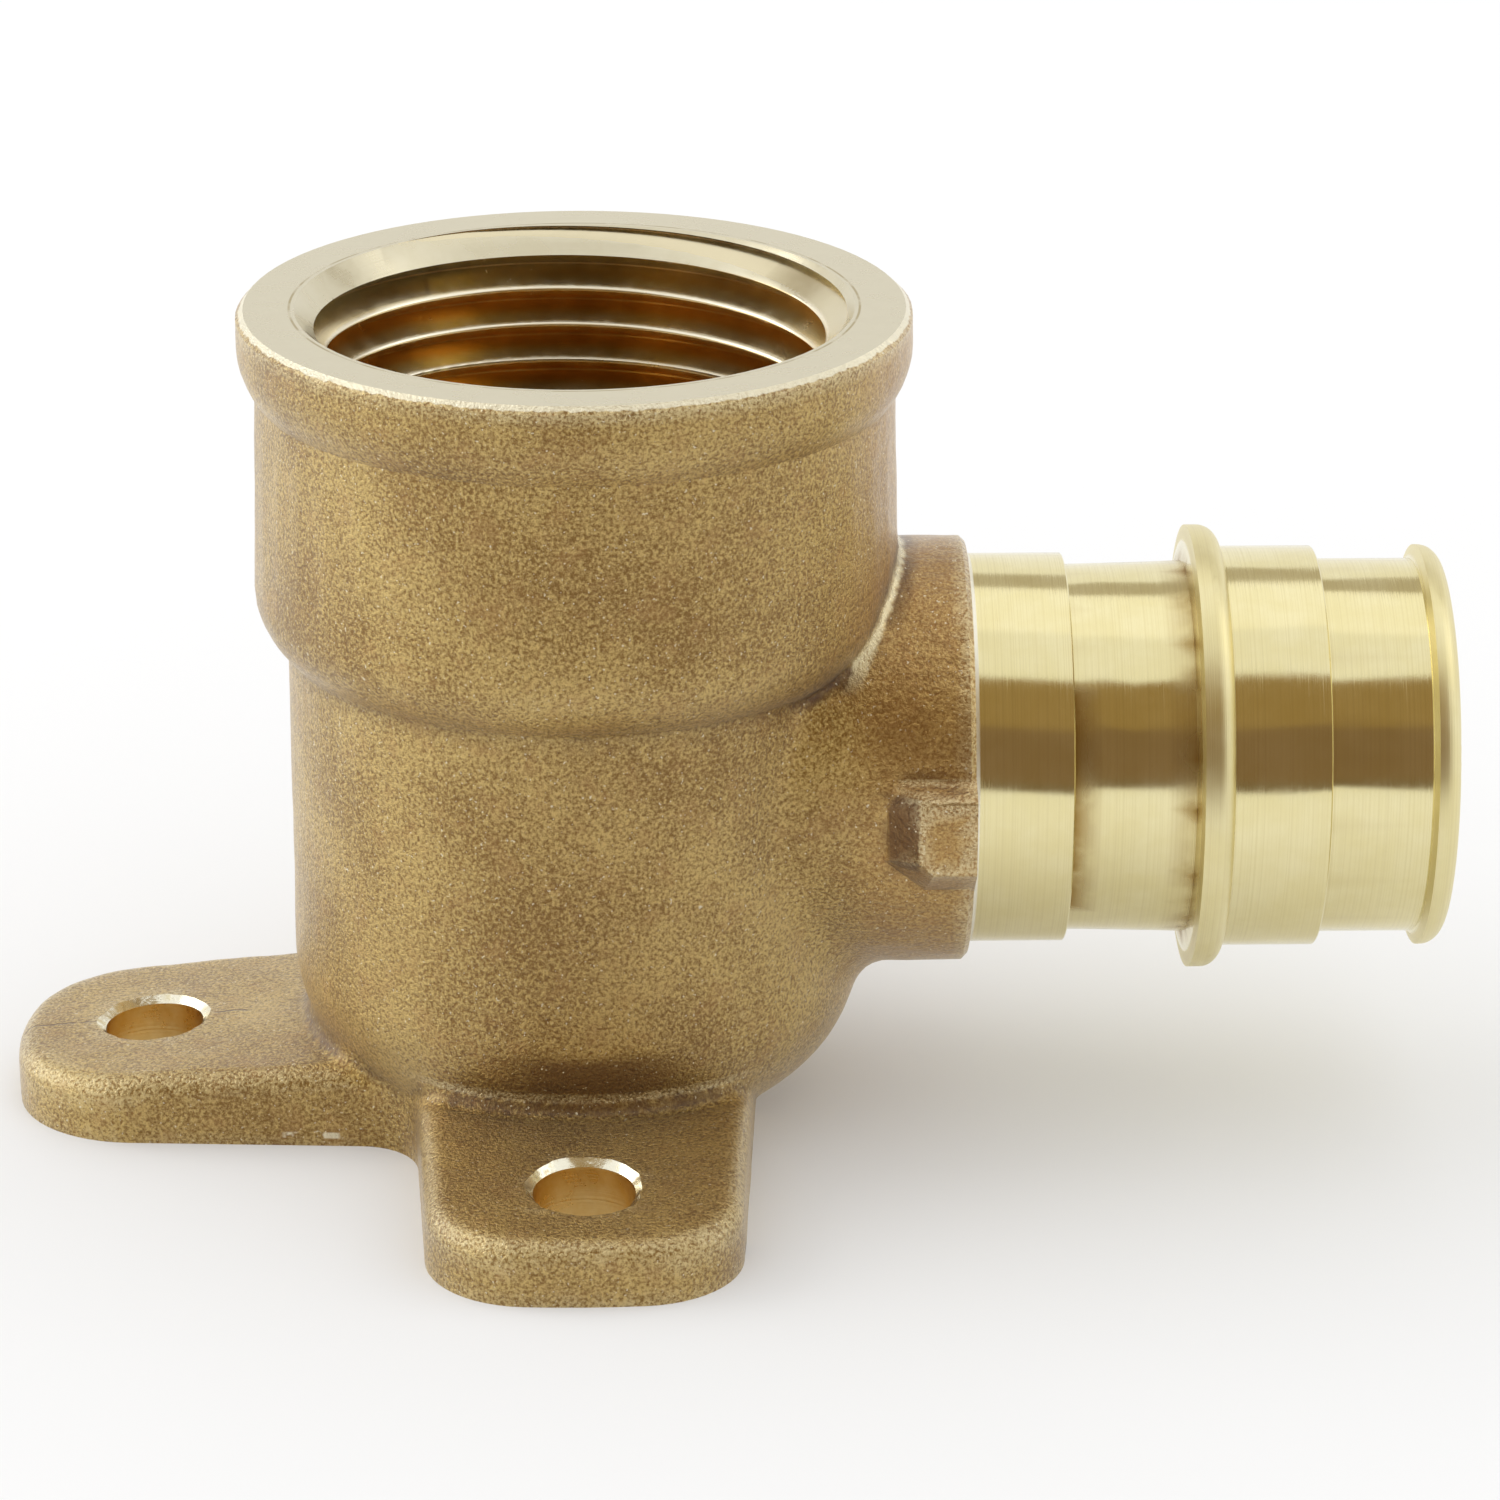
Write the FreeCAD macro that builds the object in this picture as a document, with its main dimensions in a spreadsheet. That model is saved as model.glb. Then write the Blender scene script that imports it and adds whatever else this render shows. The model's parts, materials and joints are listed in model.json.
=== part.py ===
"""Wall plate elbow: one brass casting with a threaded socket, a ribbed pipe spigot and three screw ears.

Frame: the thread axis is Z and the ears sit on the wall plane Z = 0. The socket opens towards +Z, the
spigot runs along +X, one ear points along -X and two along -Y and +Y. The mould parts on the XZ plane.
All sizes are millimetres and degrees.
"""

import math
import os

import FreeCAD
import Part
import Sketcher

NODE = "elbow_body"

# Driving dimensions
DIMENSIONS = [
    # Heights above the wall plane
    ("total_height", 40.0),
    ("spigot_axis_height", 17.4),
    # Waterway
    ("thread_bore_radius", 11.75),
    ("thread_bore_depth", 17.5),
    ("mouth_chamfer", 1.5),
    ("chamber_radius", 10.4),
    ("chamber_floor", 3.6),
    ("chamber_rounding", 5.0),
    ("spigot_bore_radius", 7.6),
    ("spigot_bore_chamfer", 0.4),
    # Lower body and its domed foot
    ("body_wall", 3.5),
    ("dome_rounding", 7.5),
    ("dome_clearance", 0.4),
    # Threaded socket, lengths measured down from its mouth
    ("socket_wall", 3.45),
    ("socket_draft", 0.25),
    ("socket_length", 16.55),
    ("socket_rounding", 3.4),
    ("socket_crease", 0.5),
    ("rim_rise", 0.8),
    ("rim_band", 1.7),
    ("rim_foot", 2.3),
    ("rim_edge", 0.35),
    # Cast neck of the spigot
    ("neck_wall", 2.72),
    ("neck_length", 4.85),
    ("neck_chamfer", 0.25),
    ("neck_blend", 2.0),
    # Turned lands of the spigot, rises measured from the thinnest land
    ("spigot_wall", 1.28),
    ("first_land_rise", 0.56),
    ("first_land_length", 4.72),
    ("second_land_taper", 0.14),
    ("second_land_length", 5.8),
    ("collar_rise", 1.88),
    ("collar_width", 1.75),
    ("collar_rounding", 0.95),
    ("third_land_rise", 0.84),
    ("third_land_length", 4.6),
    ("fourth_land_rise", 0.2),
    ("fourth_land_length", 4.82),
    ("lip_rise", 0.86),
    ("lip_width", 1.35),
    ("lip_rounding", 0.95),
    ("step_chamfer", 0.06),
    ("ring_slant", 0.24),
    # Screw ears
    ("ear_thickness", 3.4),
    ("ear_slope", 4.4),
    ("ear_root_half_width", 8.58),
    ("ear_tip_half_width", 7.2),
    ("ear_edge", 1.1),
    ("ear_root_fillet", 0.8),
    ("ear_web_fillet", 2.9),
    ("end_hole_reach", 21.0),
    ("end_ear_margin", 6.65),
    ("end_ear_crown", 14.0),
    ("end_ear_corner", 6.0),
    ("side_ear_shift", 0.2),
    ("side_hole_reach", 20.0),
    ("side_ear_margin", 5.6),
    ("side_ear_crown", 40.0),
    ("side_ear_corner", 5.0),
    ("screw_hole_radius", 2.4),
    ("screw_hole_chamfer", 0.35),
    # Grip lug on the front of the neck
    ("lug_length", 2.7),
    ("lug_top", 1.64),
    ("lug_bottom", 2.04),
    ("lug_rise", 1.2),
    ("lug_side_bevel", 1.5),
    ("lug_top_bevel", 0.43),
    ("lug_bottom_bevel", 0.94),
    ("lug_face_corner", 0.65),
    ("lug_upper_run", 0.5),
    ("lug_upper_drop", 1.6),
    ("lug_lower_run", 3.2),
    ("lug_lower_climb", 1.9),
    ("lug_edge", 0.35),
]

# Sizes that follow from the driving dimensions
BODY_RADIUS = "(Sizes.chamber_radius + Sizes.body_wall)"
SOCKET_TOP_RADIUS = "(Sizes.thread_bore_radius + Sizes.socket_wall)"
SOCKET_BOTTOM_RADIUS = f"({SOCKET_TOP_RADIUS} + Sizes.socket_draft)"
RIM_RADIUS = f"({SOCKET_TOP_RADIUS} + Sizes.rim_rise)"
CREASE_HEIGHT = "(Sizes.total_height - Sizes.socket_length)"
RIM_BAND_HEIGHT = "(Sizes.total_height - Sizes.rim_band)"
RIM_FOOT_HEIGHT = f"({RIM_BAND_HEIGHT} - Sizes.rim_foot)"
RIM_ROUNDING = "((Sizes.rim_foot ^ 2 + Sizes.rim_rise ^ 2) / (2 * Sizes.rim_rise))"
NECK_RADIUS = "(Sizes.spigot_bore_radius + Sizes.neck_wall)"
NECK_REACH = f"({BODY_RADIUS} + Sizes.neck_length)"
LAND_RADIUS = "(Sizes.spigot_bore_radius + Sizes.spigot_wall)"
COLLAR_START = f"({NECK_REACH} + Sizes.first_land_length + Sizes.second_land_length)"
COLLAR_END = f"({COLLAR_START} + Sizes.collar_width)"
LIP_START = f"({COLLAR_END} + Sizes.third_land_length + Sizes.fourth_land_length)"
SPIGOT_REACH = f"({LIP_START} + Sizes.lip_width)"
EAR_APEX_HEIGHT = "(Sizes.ear_thickness + Sizes.end_hole_reach * tan(Sizes.ear_slope))"

FILLET_SHARE = 0.9
TOLERANCE = 1e-3
SEAM_TOLERANCE = 5e-3
EDGE_SAMPLES = 9
FULL_TURN_DEG = 360.0
ORIGIN = "0"
FACE_DEPTH, ROOT_DEPTH = "0", "2"
# Sketch numbering: the ends and centre of a curve, and the sketch's own axes
START_INDEX, END_INDEX, CENTRE_INDEX = 1, 2, 3
HORIZONTAL_AXIS_INDEX, VERTICAL_AXIS_INDEX = -1, -2

doc = FreeCAD.newDocument("WallPlateElbow")


def make_sheet():
    """Spreadsheet with one alias for each driving dimension."""
    table = doc.addObject("Spreadsheet::Sheet", "Sizes")
    for row, (alias, value) in enumerate(DIMENSIONS, start=1):
        table.set(f"A{row}", alias)
        table.set(f"B{row}", str(value))
        table.setAlias(f"B{row}", alias)
    doc.recompute()
    return table


def number(formula):
    """Value of a formula on the sheet's aliases."""
    return float(sheet.evalExpression(formula))


def origin_plane(role):
    """One of the body's own origin planes."""
    return next(item for item in body.Origin.OriginFeatures if item.Role == role)


def new_sketch(name, role):
    """Empty sketch on one of the origin planes."""
    sketch = body.newObject("Sketcher::SketchObject", name)
    sketch.AttachmentSupport = [(origin_plane(role), "")]
    sketch.MapMode = "FlatFace"
    return sketch


def spigot_sketch(name):
    """Sketch in the XZ plane with its horizontal axis on the spigot's axis."""
    sketch = new_sketch(name, "XZ_Plane")
    sketch.setExpression("AttachmentOffset.Base.y", "Sizes.spigot_axis_height")
    return sketch


def bind(sketch, constraint, formula):
    """Adds a dimension to the sketch and ties it to a formula."""
    index = sketch.addConstraint(constraint)
    sketch.setExpression(f"Constraints[{index}]", formula)


def locate(sketch, geometry, end, x=None, y=None):
    """Ties one end of a sketch line to the formulas x and y."""
    for kind, formula, axis in (("DistanceX", x, VERTICAL_AXIS_INDEX), ("DistanceY", y, HORIZONTAL_AXIS_INDEX)):
        if formula is None:
            continue
        if formula == ORIGIN:
            sketch.addConstraint(Sketcher.Constraint("PointOnObject", geometry, end, axis))
        else:
            place = Sketcher.Constraint(kind, HORIZONTAL_AXIS_INDEX, START_INDEX, geometry, end, number(formula))
            bind(sketch, place, formula)


def outline(sketch, corners, arcs=None):
    """Closed outline through corners given as pairs of formulas.

    The side that leaves a corner is straight, or an arc where arcs gives that corner's number
    a centre and a radius, again as formulas.
    """
    arcs = arcs or {}
    points = [FreeCAD.Vector(number(x), number(y), 0) for x, y in corners]
    count = len(points)
    for index, start in enumerate(points):
        finish = points[(index + 1) % count]
        if index in arcs:
            centre_x, centre_y, radius = arcs[index]
            centre = FreeCAD.Vector(number(centre_x), number(centre_y), 0)
            outward = ((start + finish) * 0.5 - centre).normalize()
            middle = centre + outward * number(radius)
            sketch.addGeometry(Part.Arc(start, middle, finish), False)
        else:
            sketch.addGeometry(Part.LineSegment(start, finish), False)
    ends = [curve_ends(sketch, index, points[index]) for index in range(count)]
    for index in range(count):
        following = (index + 1) % count
        joint = Sketcher.Constraint("Coincident", index, ends[index][1], following, ends[following][0])
        sketch.addConstraint(joint)
    for index, (x, y) in enumerate(corners):
        locate(sketch, index, ends[index][0], x, y)
    for index, (_, _, radius) in arcs.items():
        bind(sketch, Sketcher.Constraint("Radius", index, number(radius)), radius)
    return sketch


def curve_ends(sketch, index, start):
    """Point numbers of a side's start and finish, which an arc may hold the other way round."""
    if sketch.getPoint(index, START_INDEX).distanceToPoint(start) < TOLERANCE:
        return START_INDEX, END_INDEX
    return END_INDEX, START_INDEX


def settle(feature):
    """Recomputes the document and stops on a feature that failed."""
    doc.recompute()
    failed = "Invalid" in feature.State or "Error" in feature.State
    if failed or feature.Shape.isNull() or not feature.Shape.isValid():
        raise RuntimeError(f"{feature.Name} failed: {feature.State}")
    return feature


def revolve(kind, name, sketch, axis):
    """Revolution or Groove of a sketch about one of its own axes."""
    feature = body.newObject(f"PartDesign::{kind}", name)
    feature.Profile = sketch
    feature.ReferenceAxis = (sketch, [axis])
    feature.Angle = FULL_TURN_DEG
    return settle(feature)


def edge_names(feature, test):
    """Names of the feature's edges that pass the test."""
    names = [f"Edge{index}" for index, edge in enumerate(feature.Shape.Edges, start=1) if test(edge)]
    if not names:
        raise RuntimeError(f"no edge found on {feature.Name}")
    return names


def dress(kind, name, base, test, alias):
    """Fillet or Chamfer on the edges of the base that pass the test."""
    feature = body.newObject(f"PartDesign::{kind}", name)
    feature.Base = (base, edge_names(base, test))
    feature.setExpression("Radius" if kind == "Fillet" else "Size", f"Sizes.{alias}")
    return settle(feature)


def near(value, target):
    """Whether two lengths agree."""
    return abs(value - target) < TOLERANCE


def throughout(edge, test):
    """Whether every sampled point of the edge passes the test."""
    return not edge.Degenerated and all(test(point) for point in edge.discretize(EDGE_SAMPLES))


def upright(edge):
    """Whether the edge runs parallel to the thread axis."""
    box = edge.BoundBox
    return near(box.XLength, 0) and near(box.YLength, 0)


def from_thread_axis(point):
    """Distance of a point from the socket's axis."""
    return math.hypot(point.x, point.y)


def from_spigot_axis(point):
    """Distance of a point from the spigot's axis."""
    return math.hypot(point.y, point.z - number("Sizes.spigot_axis_height"))


def ear_plan(name, turn, ear):
    """Plan of one ear, pointing along local -X from the thread axis and turned about Z."""
    sketch = new_sketch(name, "XY_Plane")
    turned = FreeCAD.Rotation(FreeCAD.Vector(0, 0, 1), turn)
    sketch.AttachmentOffset = FreeCAD.Placement(FreeCAD.Vector(), turned)
    if ear == "side":
        sketch.setExpression("AttachmentOffset.Base.x", "Sizes.side_ear_shift")
    crown = f"Sizes.{ear}_ear_crown"
    middle = f"(Sizes.{ear}_ear_crown - Sizes.{ear}_hole_reach - Sizes.{ear}_ear_margin)"
    shoulder = f"({middle} - sqrt({crown} ^ 2 - Sizes.ear_tip_half_width ^ 2))"
    corners = [
        (ORIGIN, "-Sizes.ear_root_half_width"),
        (ORIGIN, "Sizes.ear_root_half_width"),
        (shoulder, "Sizes.ear_tip_half_width"),
        (shoulder, "-Sizes.ear_tip_half_width"),
    ]
    return outline(sketch, corners, {2: (middle, ORIGIN, crown)})


def make_ears():
    """Three ears on the wall plane, thicker towards the body and rounded along their top edges."""
    for name, turn, ear in (("EndEar", 0, "end"), ("FrontEar", 90, "side"), ("BackEar", -90, "side")):
        pad = body.newObject("PartDesign::Pad", name)
        pad.Profile = ear_plan(f"{name}Plan", turn, ear)
        pad.setExpression("Length", EAR_APEX_HEIGHT)
        ears = settle(pad)
    inner = min(number("Sizes.end_hole_reach"), number("Sizes.side_hole_reach"))

    def web(edge):
        return upright(edge) and from_thread_axis(edge.CenterOfMass) < inner

    def end_corner(edge):
        place = edge.CenterOfMass
        return upright(edge) and from_thread_axis(place) > inner and -place.x > abs(place.y)

    def side_corner(edge):
        place = edge.CenterOfMass
        aside = abs(place.x - number("Sizes.side_ear_shift"))
        on_shoulder = near(aside, number("Sizes.ear_tip_half_width"))
        return upright(edge) and from_thread_axis(place) > inner and on_shoulder

    ears = dress("Fillet", "EarWebs", ears, web, "ear_web_fillet")
    ears = dress("Fillet", "EndEarCorners", ears, end_corner, "end_ear_corner")
    ears = dress("Fillet", "SideEarCorners", ears, side_corner, "side_ear_corner")
    reach = "(Sizes.end_hole_reach + Sizes.side_hole_reach + Sizes.end_ear_margin + Sizes.side_ear_margin)"
    slope = outline(new_sketch("EarSlopeProfile", "XZ_Plane"), [
        (ORIGIN, EAR_APEX_HEIGHT),
        (reach, f"{EAR_APEX_HEIGHT} - {reach} * tan(Sizes.ear_slope)"),
        (reach, EAR_APEX_HEIGHT),
    ])
    ears = revolve("Groove", "EarSlope", slope, "V_Axis")
    apex = number(EAR_APEX_HEIGHT)
    fall = number("tan(Sizes.ear_slope)")

    def top_edge(edge):
        on_slope = throughout(edge, lambda point: near(point.z, apex - fall * from_thread_axis(point)))
        return on_slope and edge.BoundBox.ZMax < apex - TOLERANCE

    return dress("Fillet", "EarEdges", ears, top_edge, "ear_edge")


def make_lower_body():
    """Plain lower cylinder with its foot rounded to a dome, standing on the ears."""
    clearance = "Sizes.dome_clearance"
    rounding = "Sizes.dome_rounding"
    dome_top = f"({clearance} + {rounding})"
    dome_foot = f"({BODY_RADIUS} - {rounding})"
    sketch = outline(new_sketch("LowerBodyProfile", "XZ_Plane"), [
        (ORIGIN, clearance),
        (f"-{dome_foot}", clearance),
        (f"-{BODY_RADIUS}", dome_top),
        (f"-{BODY_RADIUS}", RIM_FOOT_HEIGHT),
        (ORIGIN, RIM_FOOT_HEIGHT),
    ], {1: (f"-{dome_foot}", dome_top, rounding)})
    lower = revolve("Revolution", "LowerBody", sketch, "V_Axis")
    ear_top = number("Sizes.ear_thickness") - number("Sizes.ear_edge")

    def on_dome(point):
        drop = number(dome_top) - point.z
        if drop < 0 or drop > number(rounding):
            return False
        radius = number(dome_foot) + math.sqrt(number(rounding) ** 2 - drop ** 2)
        return abs(from_thread_axis(point) - radius) < SEAM_TOLERANCE

    def ear_root(edge):
        return edge.BoundBox.ZMin > ear_top and not upright_arc(edge) and throughout(edge, on_dome)

    return dress("Fillet", "EarRoots", lower, ear_root, "ear_root_fillet")


def upright_arc(edge):
    """Whether the edge is the profile arc left by a revolution."""
    return isinstance(edge.Curve, Part.Circle)


def make_neck():
    """Cast neck, blended into the lower body."""
    sketch = outline(spigot_sketch("NeckProfile"), [
        (ORIGIN, ORIGIN),
        (NECK_REACH, ORIGIN),
        (NECK_REACH, f"{NECK_RADIUS} - Sizes.neck_chamfer"),
        (f"{NECK_REACH} - Sizes.neck_chamfer", NECK_RADIUS),
        (ORIGIN, NECK_RADIUS),
    ])
    neck = revolve("Revolution", "Neck", sketch, "H_Axis")
    radius = number(NECK_RADIUS)
    end = number(NECK_REACH) - number("Sizes.neck_chamfer")

    def neck_root(edge):
        on_neck = throughout(edge, lambda point: near(from_spigot_axis(point), radius))
        return on_neck and edge.BoundBox.XMax < end - TOLERANCE

    return dress("Fillet", "NeckBlend", neck, neck_root, "neck_blend")


def make_socket():
    """Threaded socket with a turned rim, its foot a quarter round that dives into the lower body."""
    rounding = "Sizes.socket_rounding"
    step = f"({SOCKET_BOTTOM_RADIUS} - {BODY_RADIUS})"
    shoulder = f"({CREASE_HEIGHT} + sqrt({rounding} ^ 2 - ({rounding} - {step}) ^ 2))"
    round_centre = f"-({SOCKET_BOTTOM_RADIUS} - {rounding})"
    sketch = outline(new_sketch("SocketProfile", "XZ_Plane"), [
        (ORIGIN, f"{shoulder} - {rounding}"),
        (round_centre, f"{shoulder} - {rounding}"),
        (f"-{SOCKET_BOTTOM_RADIUS}", shoulder),
        (f"-{SOCKET_TOP_RADIUS}", RIM_FOOT_HEIGHT),
        (f"-{RIM_RADIUS}", RIM_BAND_HEIGHT),
        (f"-{RIM_RADIUS}", "Sizes.total_height - Sizes.rim_edge"),
        (f"-({RIM_RADIUS} - Sizes.rim_edge)", "Sizes.total_height"),
        (ORIGIN, "Sizes.total_height"),
    ], {
        1: (round_centre, shoulder, rounding),
        3: (f"-({RIM_RADIUS} - {RIM_ROUNDING})", RIM_BAND_HEIGHT, RIM_ROUNDING),
    })
    socket = revolve("Revolution", "Socket", sketch, "V_Axis")
    radius = number(BODY_RADIUS)
    height = number(CREASE_HEIGHT)

    def on_crease(point):
        return near(from_thread_axis(point), radius) and near(point.z, height)

    def crease(edge):
        return throughout(edge, on_crease)

    return dress("Fillet", "SocketCrease", socket, crease, "socket_crease")


def lug_outline(name, depth, runs):
    """Outline of the lug, a number of rises below its face, with the runs of its two cut corners."""
    sketch = spigot_sketch(name)
    sketch.setExpression("AttachmentOffset.Base.z", f"{NECK_RADIUS} + (1 - {depth}) * Sizes.lug_rise")
    left = f"({NECK_REACH} - Sizes.lug_length - {depth} * Sizes.lug_side_bevel)"
    top = f"(Sizes.lug_top + {depth} * Sizes.lug_top_bevel)"
    bottom = f"(Sizes.lug_bottom + {depth} * Sizes.lug_bottom_bevel)"
    upper_run, upper_drop, lower_run, lower_climb = [f"Sizes.{alias}" for alias in runs]
    return outline(sketch, [
        (NECK_REACH, top),
        (f"{left} + {upper_run}", top),
        (left, f"{top} - {upper_drop}"),
        (left, f"-({bottom} - {lower_climb})"),
        (f"{left} + {lower_run}", f"-{bottom}"),
        (NECK_REACH, f"-{bottom}"),
    ])


def make_lug():
    """Bevelled grip lug on the front of the neck, cut off flush by the turning of the neck's end."""
    root_runs = ("lug_upper_run", "lug_upper_drop", "lug_lower_run", "lug_lower_climb")
    face = lug_outline("LugFace", FACE_DEPTH, ("lug_face_corner",) * len(root_runs))
    root = lug_outline("LugRoot", ROOT_DEPTH, root_runs)
    loft = body.newObject("PartDesign::AdditiveLoft", "Lug")
    loft.Profile = face
    loft.Sections = [root]
    loft.Ruled = True
    settle(loft)
    front = number(f"{NECK_RADIUS} + Sizes.lug_rise")
    end = number(NECK_REACH)

    def face_edge(edge):
        on_face = throughout(edge, lambda point: near(-point.y, front))
        return on_face and edge.BoundBox.XMin < end - TOLERANCE

    return dress("Fillet", "LugEdges", loft, face_edge, "lug_edge")


def make_spigot():
    """Turned spigot: four lands, and a stop collar and an end lip with slanted backs and rounded fronts."""
    first = f"({LAND_RADIUS} + Sizes.first_land_rise)"
    first_end = f"({NECK_REACH} + Sizes.first_land_length)"
    second_end = f"({LAND_RADIUS} + Sizes.second_land_taper)"
    collar = f"({LAND_RADIUS} + Sizes.collar_rise)"
    third = f"({LAND_RADIUS} + Sizes.third_land_rise)"
    third_end = f"({COLLAR_END} + Sizes.third_land_length)"
    fourth = f"({LAND_RADIUS} + Sizes.fourth_land_rise)"
    lip = f"({LAND_RADIUS} + Sizes.lip_rise)"
    step = "Sizes.step_chamfer"
    slant = "Sizes.ring_slant"
    collar_round = f"min(Sizes.collar_rounding; {FILLET_SHARE} * ({collar} - {third}))"
    lip_round = f"min(Sizes.lip_rounding; {FILLET_SHARE} * Sizes.lip_width)"
    corners = [
        (ORIGIN, ORIGIN),
        (SPIGOT_REACH, ORIGIN),
        (SPIGOT_REACH, f"{lip} - {lip_round}"),
        (f"{SPIGOT_REACH} - {lip_round}", lip),
        (f"{LIP_START} + {slant}", lip),
        (LIP_START, fourth),
        (third_end, fourth),
        (third_end, f"{third} - {step}"),
        (f"{third_end} - {step}", third),
        (COLLAR_END, third),
        (COLLAR_END, f"{collar} - {collar_round}"),
        (f"{COLLAR_END} - {collar_round}", collar),
        (f"{COLLAR_START} + {slant}", collar),
        (COLLAR_START, second_end),
        (first_end, LAND_RADIUS),
        (first_end, f"{first} - {step}"),
        (f"{first_end} - {step}", first),
        (ORIGIN, first),
    ]
    arcs = {
        2: (f"{SPIGOT_REACH} - {lip_round}", f"{lip} - {lip_round}", lip_round),
        10: (f"{COLLAR_END} - {collar_round}", f"{collar} - {collar_round}", collar_round),
    }
    sketch = outline(spigot_sketch("SpigotProfile"), corners, arcs)
    return revolve("Revolution", "Spigot", sketch, "H_Axis")


def make_waterway():
    """Tapping bore with its mouth chamfer, the cast chamber below it and the spigot's bore."""
    bore_end = "(Sizes.total_height - Sizes.thread_bore_depth)"
    floor = "Sizes.chamber_floor"
    rounding = "Sizes.chamber_rounding"
    bowl = f"(Sizes.chamber_radius - {rounding})"
    sketch = outline(new_sketch("SocketBoreProfile", "XZ_Plane"), [
        (ORIGIN, "Sizes.total_height"),
        ("-(Sizes.thread_bore_radius + Sizes.mouth_chamfer)", "Sizes.total_height"),
        ("-Sizes.thread_bore_radius", "Sizes.total_height - Sizes.mouth_chamfer"),
        ("-Sizes.thread_bore_radius", bore_end),
        ("-Sizes.chamber_radius", bore_end),
        ("-Sizes.chamber_radius", f"{floor} + {rounding}"),
        (f"-{bowl}", floor),
        (ORIGIN, floor),
    ], {5: (f"-{bowl}", f"{floor} + {rounding}", rounding)})
    revolve("Groove", "SocketBore", sketch, "V_Axis")
    chamfer = "Sizes.spigot_bore_chamfer"
    sketch = outline(spigot_sketch("SpigotBoreProfile"), [
        (ORIGIN, ORIGIN),
        (SPIGOT_REACH, ORIGIN),
        (SPIGOT_REACH, f"Sizes.spigot_bore_radius + {chamfer}"),
        (f"{SPIGOT_REACH} - {chamfer}", "Sizes.spigot_bore_radius"),
        (ORIGIN, "Sizes.spigot_bore_radius"),
    ])
    return revolve("Groove", "SpigotBore", sketch, "H_Axis")


def make_screw_holes():
    """One drilled and deburred screw hole in each ear."""
    sketch = new_sketch("ScrewHolePlan", "XY_Plane")
    centres = [
        ("-Sizes.end_hole_reach", ORIGIN),
        ("Sizes.side_ear_shift", "-Sizes.side_hole_reach"),
        ("Sizes.side_ear_shift", "Sizes.side_hole_reach"),
    ]
    radius = number("Sizes.screw_hole_radius")
    for index, (x, y) in enumerate(centres):
        centre = FreeCAD.Vector(number(x), number(y), 0)
        sketch.addGeometry(Part.Circle(centre, FreeCAD.Vector(0, 0, 1), radius), False)
        bind(sketch, Sketcher.Constraint("Radius", index, radius), "Sizes.screw_hole_radius")
        locate(sketch, index, CENTRE_INDEX, x, y)
    pocket = body.newObject("PartDesign::Pocket", "ScrewHoles")
    pocket.Profile = sketch
    pocket.Reversed = True
    pocket.setExpression("Length", EAR_APEX_HEIGHT)
    settle(pocket)
    middle = number("Sizes.ear_thickness") / 2

    def hole_rim(edge):
        if edge.BoundBox.ZMin < middle:
            return False
        for x, y in centres:
            axis_x, axis_y = number(x), number(y)
            if throughout(edge, lambda point: near(math.hypot(point.x - axis_x, point.y - axis_y), radius)):
                return True
        return False

    return dress("Chamfer", "ScrewHoleRims", pocket, hole_rim, "screw_hole_chamfer")


def check(final):
    """Stops on any object that failed and on a model that isn't one sound solid."""
    for item in doc.Objects:
        if "Invalid" in item.State or "Error" in item.State:
            raise RuntimeError(f"{item.Name} failed: {item.State}")
    shape = final.Shape
    if shape.isNull() or not shape.isValid() or len(shape.Solids) != 1:
        raise RuntimeError("the elbow isn't one valid solid")


sheet = make_sheet()
body = doc.addObject("PartDesign::Body", "ElbowBody")
body.Label = NODE
make_ears()
make_lower_body()
make_neck()
make_socket()
make_lug()
make_spigot()
make_waterway()
body.Tip = make_screw_holes()
doc.recompute()
check(body)
os.makedirs("parts", exist_ok=True)
body.Shape.exportStep(f"parts/{body.Label}.step")
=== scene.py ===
"""Looks of the wall plate elbow: a sand-cast brass body that is machined where pipes and screws go."""

import json
import math

import bmesh
import bpy
import numpy as np
from mathutils import Matrix, Vector, kdtree, noise


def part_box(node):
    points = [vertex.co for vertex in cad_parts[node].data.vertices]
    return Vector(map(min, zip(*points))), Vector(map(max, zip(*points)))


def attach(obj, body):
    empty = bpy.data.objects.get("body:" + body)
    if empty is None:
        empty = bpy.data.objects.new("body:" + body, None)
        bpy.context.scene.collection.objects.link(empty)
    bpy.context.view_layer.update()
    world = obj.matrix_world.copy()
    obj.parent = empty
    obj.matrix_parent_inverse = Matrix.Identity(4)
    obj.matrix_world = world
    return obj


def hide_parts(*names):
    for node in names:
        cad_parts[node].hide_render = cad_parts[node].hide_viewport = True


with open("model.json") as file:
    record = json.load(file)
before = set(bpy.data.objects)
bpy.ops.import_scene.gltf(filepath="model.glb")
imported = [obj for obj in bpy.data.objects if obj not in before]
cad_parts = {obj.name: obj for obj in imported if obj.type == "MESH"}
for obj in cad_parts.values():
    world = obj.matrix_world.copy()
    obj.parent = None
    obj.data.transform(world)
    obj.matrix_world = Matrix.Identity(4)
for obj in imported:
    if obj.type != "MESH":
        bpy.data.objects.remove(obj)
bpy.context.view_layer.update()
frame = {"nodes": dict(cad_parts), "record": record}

MM = 0.001
NODE = "elbow_body"
BODY = "root"
MOUNTS = {mount["name"]: mount for mount in frame["record"]["mounts"]}
SCREW_HOLES = ["screw_end", "screw_front", "screw_back"]

# Camera, in millimetres and degrees, as found from the photograph; the clip distances are in metres
CAMERA_TARGET = Vector((8.348, 0.0, 17.31))
CAMERA_DISTANCE = 293.57
CAMERA_AZIMUTH = -1.516
CAMERA_ELEVATION = 21.299
CAMERA_ROLL = 0.172
CAMERA_LENS = 144.9
CAMERA_SENSOR = 36.0
CAMERA_CLIP = (0.01, 100.0)

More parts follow.
